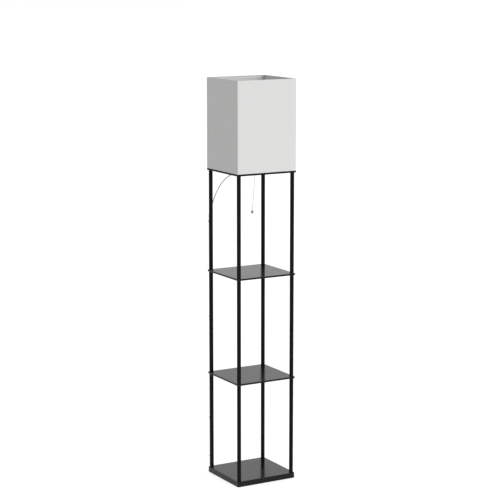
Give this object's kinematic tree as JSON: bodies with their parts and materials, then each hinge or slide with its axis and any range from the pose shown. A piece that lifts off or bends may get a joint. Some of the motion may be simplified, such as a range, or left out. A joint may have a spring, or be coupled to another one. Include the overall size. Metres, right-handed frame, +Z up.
{
  "type": "shelf floor lamp",
  "caption": "Tall square floor lamp with slim round posts, open shelves, a weighted base, a square fabric shade and a bead pull chain.",
  "frame": {"origin": "on the floor, under the middle of the lamp", "axes": "+Z up along the posts; -Y is the front, the side that the pull chain hangs on; +X is to the right seen from the front"},
  "size_m": [0.2698, 0.2822, 1.6056],
  "materials": {
    "black_steel": "satin black powder coat",
    "shelf_board": "thin board with a satin black laminate on its faces and edges",
    "weight_slab": "cast cement",
    "closing_board": "bare hardboard",
    "foot_rubber": "matte",
    "fastener_steel": "zinc plated",
    "holder_plastic": "black phenolic",
    "cord_plastic": "pale flexible PVC",
    "clip_plastic": "pale translucent",
    "tie_plastic": "plain black",
    "contact_brass": "plain",
    "shell_brass": "nickel washed",
    "drum_plastic": "phenolic",
    "spring_steel": "oiled",
    "nickel_chain": "nickel plated",
    "nickel_knob": "satin nickel",
    "bulb_cap_metal": "plain",
    "bulb_plastic": "white",
    "opal_globe": "opal",
    "shade_fabric": "white linen-look cloth on a stiff backing",
    "white_wire": "white enamel"
  },
  "bodies": {
    "frame": {"base_bolts": "fastener_steel", "base_bottom_plate": "closing_board", "base_cover": "black_steel", "base_weight": "weight_slab", "centre_contact": "contact_brass", "chain_ferrule": "nickel_chain", "cord_clips": "clip_plastic", "cord_gland": "cord_plastic", "cord_hank": "cord_plastic", "drum_axle": "fastener_steel", "frame_cap_screws": "fastener_steel", "hank_tie": "tie_plastic", "holder_cap": "holder_plastic", "holder_crossbar": "black_steel", "holder_nipple": "fastener_steel", "lower_post_front_left": "black_steel", "lower_post_front_right": "black_steel", "lower_post_rear_left": "black_steel", "lower_post_rear_right": "black_steel", "lower_shelf": "shelf_board", "middle_post_front_left": "black_steel", "middle_post_front_right": "black_steel", "middle_post_rear_left": "black_steel", "middle_post_rear_right": "black_steel", "nipple_nut": "fastener_steel", "plug_blades": "contact_brass", "plug_body": "cord_plastic", "post_bushes": "fastener_steel", "power_cord": "cord_plastic", "return_spring": "spring_steel", "rubber_feet": "foot_rubber", "screw_shell": "shell_brass", "shelf_studs": "fastener_steel", "socket_insulator": "holder_plastic", "switch_cover": "holder_plastic", "switch_housing": "holder_plastic", "top_frame_front_bar": "black_steel", "top_frame_left_bar": "black_steel", "top_frame_rear_bar": "black_steel", "top_frame_right_bar": "black_steel", "upper_post_front_left": "black_steel", "upper_post_front_right": "black_steel", "upper_post_rear_left": "black_steel", "upper_post_rear_right": "black_steel", "upper_shelf": "shelf_board"},
    "drum": {"ratchet_drum": "drum_plastic"},
    "chain_top": {"chain_top_link": "nickel_chain"},
    "coupling": {"chain_coupling": "nickel_chain"},
    "chain": {"pull_chain": "nickel_chain", "pull_knob": "nickel_knob"},
    "bulb": {"bulb_contact": "contact_brass", "bulb_screw_cap": "bulb_cap_metal", "bulb_housing": "bulb_plastic", "bulb_globe": "opal_globe"},
    "shade": {"shade_panel_front": "shade_fabric", "shade_panel_rear": "shade_fabric", "shade_panel_left": "shade_fabric", "shade_panel_right": "shade_fabric", "shade_wire_frame": "white_wire"}
  },
  "joints": [
    {"name": "chain_pull", "type": "slide", "parent": "frame", "child": "chain_top", "axis": [0, 0, -1], "range_m": [0, 0.012], "stiffness_N_per_m": 500, "springref_m": -0.006},
    {"name": "drum_turn", "type": "hinge", "parent": "frame", "child": "drum", "pos_m": [0, -0.0246, 1.2755], "axis": [1, 0, 0], "range_deg": [0, 105]},
    {"name": "chain_swing_front", "type": "hinge", "parent": "chain_top", "child": "coupling", "pos_m": [0, -0.0312, 1.25135], "axis": [1, 0, 0], "range_deg": [-15, 15]},
    {"name": "chain_swing_side", "type": "hinge", "parent": "coupling", "child": "chain", "pos_m": [0, -0.0312, 1.24405], "axis": [0, 1, 0], "range_deg": [-20, 20]},
    {"name": "bulb_turn", "type": "hinge", "parent": "frame", "child": "bulb", "pos_m": [0, 0, 1.29], "axis": [0, 0, 1], "range_deg": [0, 1800]},
    {"name": "shade_lift", "type": "slide", "parent": "frame", "child": "shade", "axis": [0, 0, 1], "range_m": [0, 0.16]}
  ],
  "couplings": [
    {"joint": "drum_turn", "follows": "chain_pull", "rad_per_m": 151.51}
  ]
}
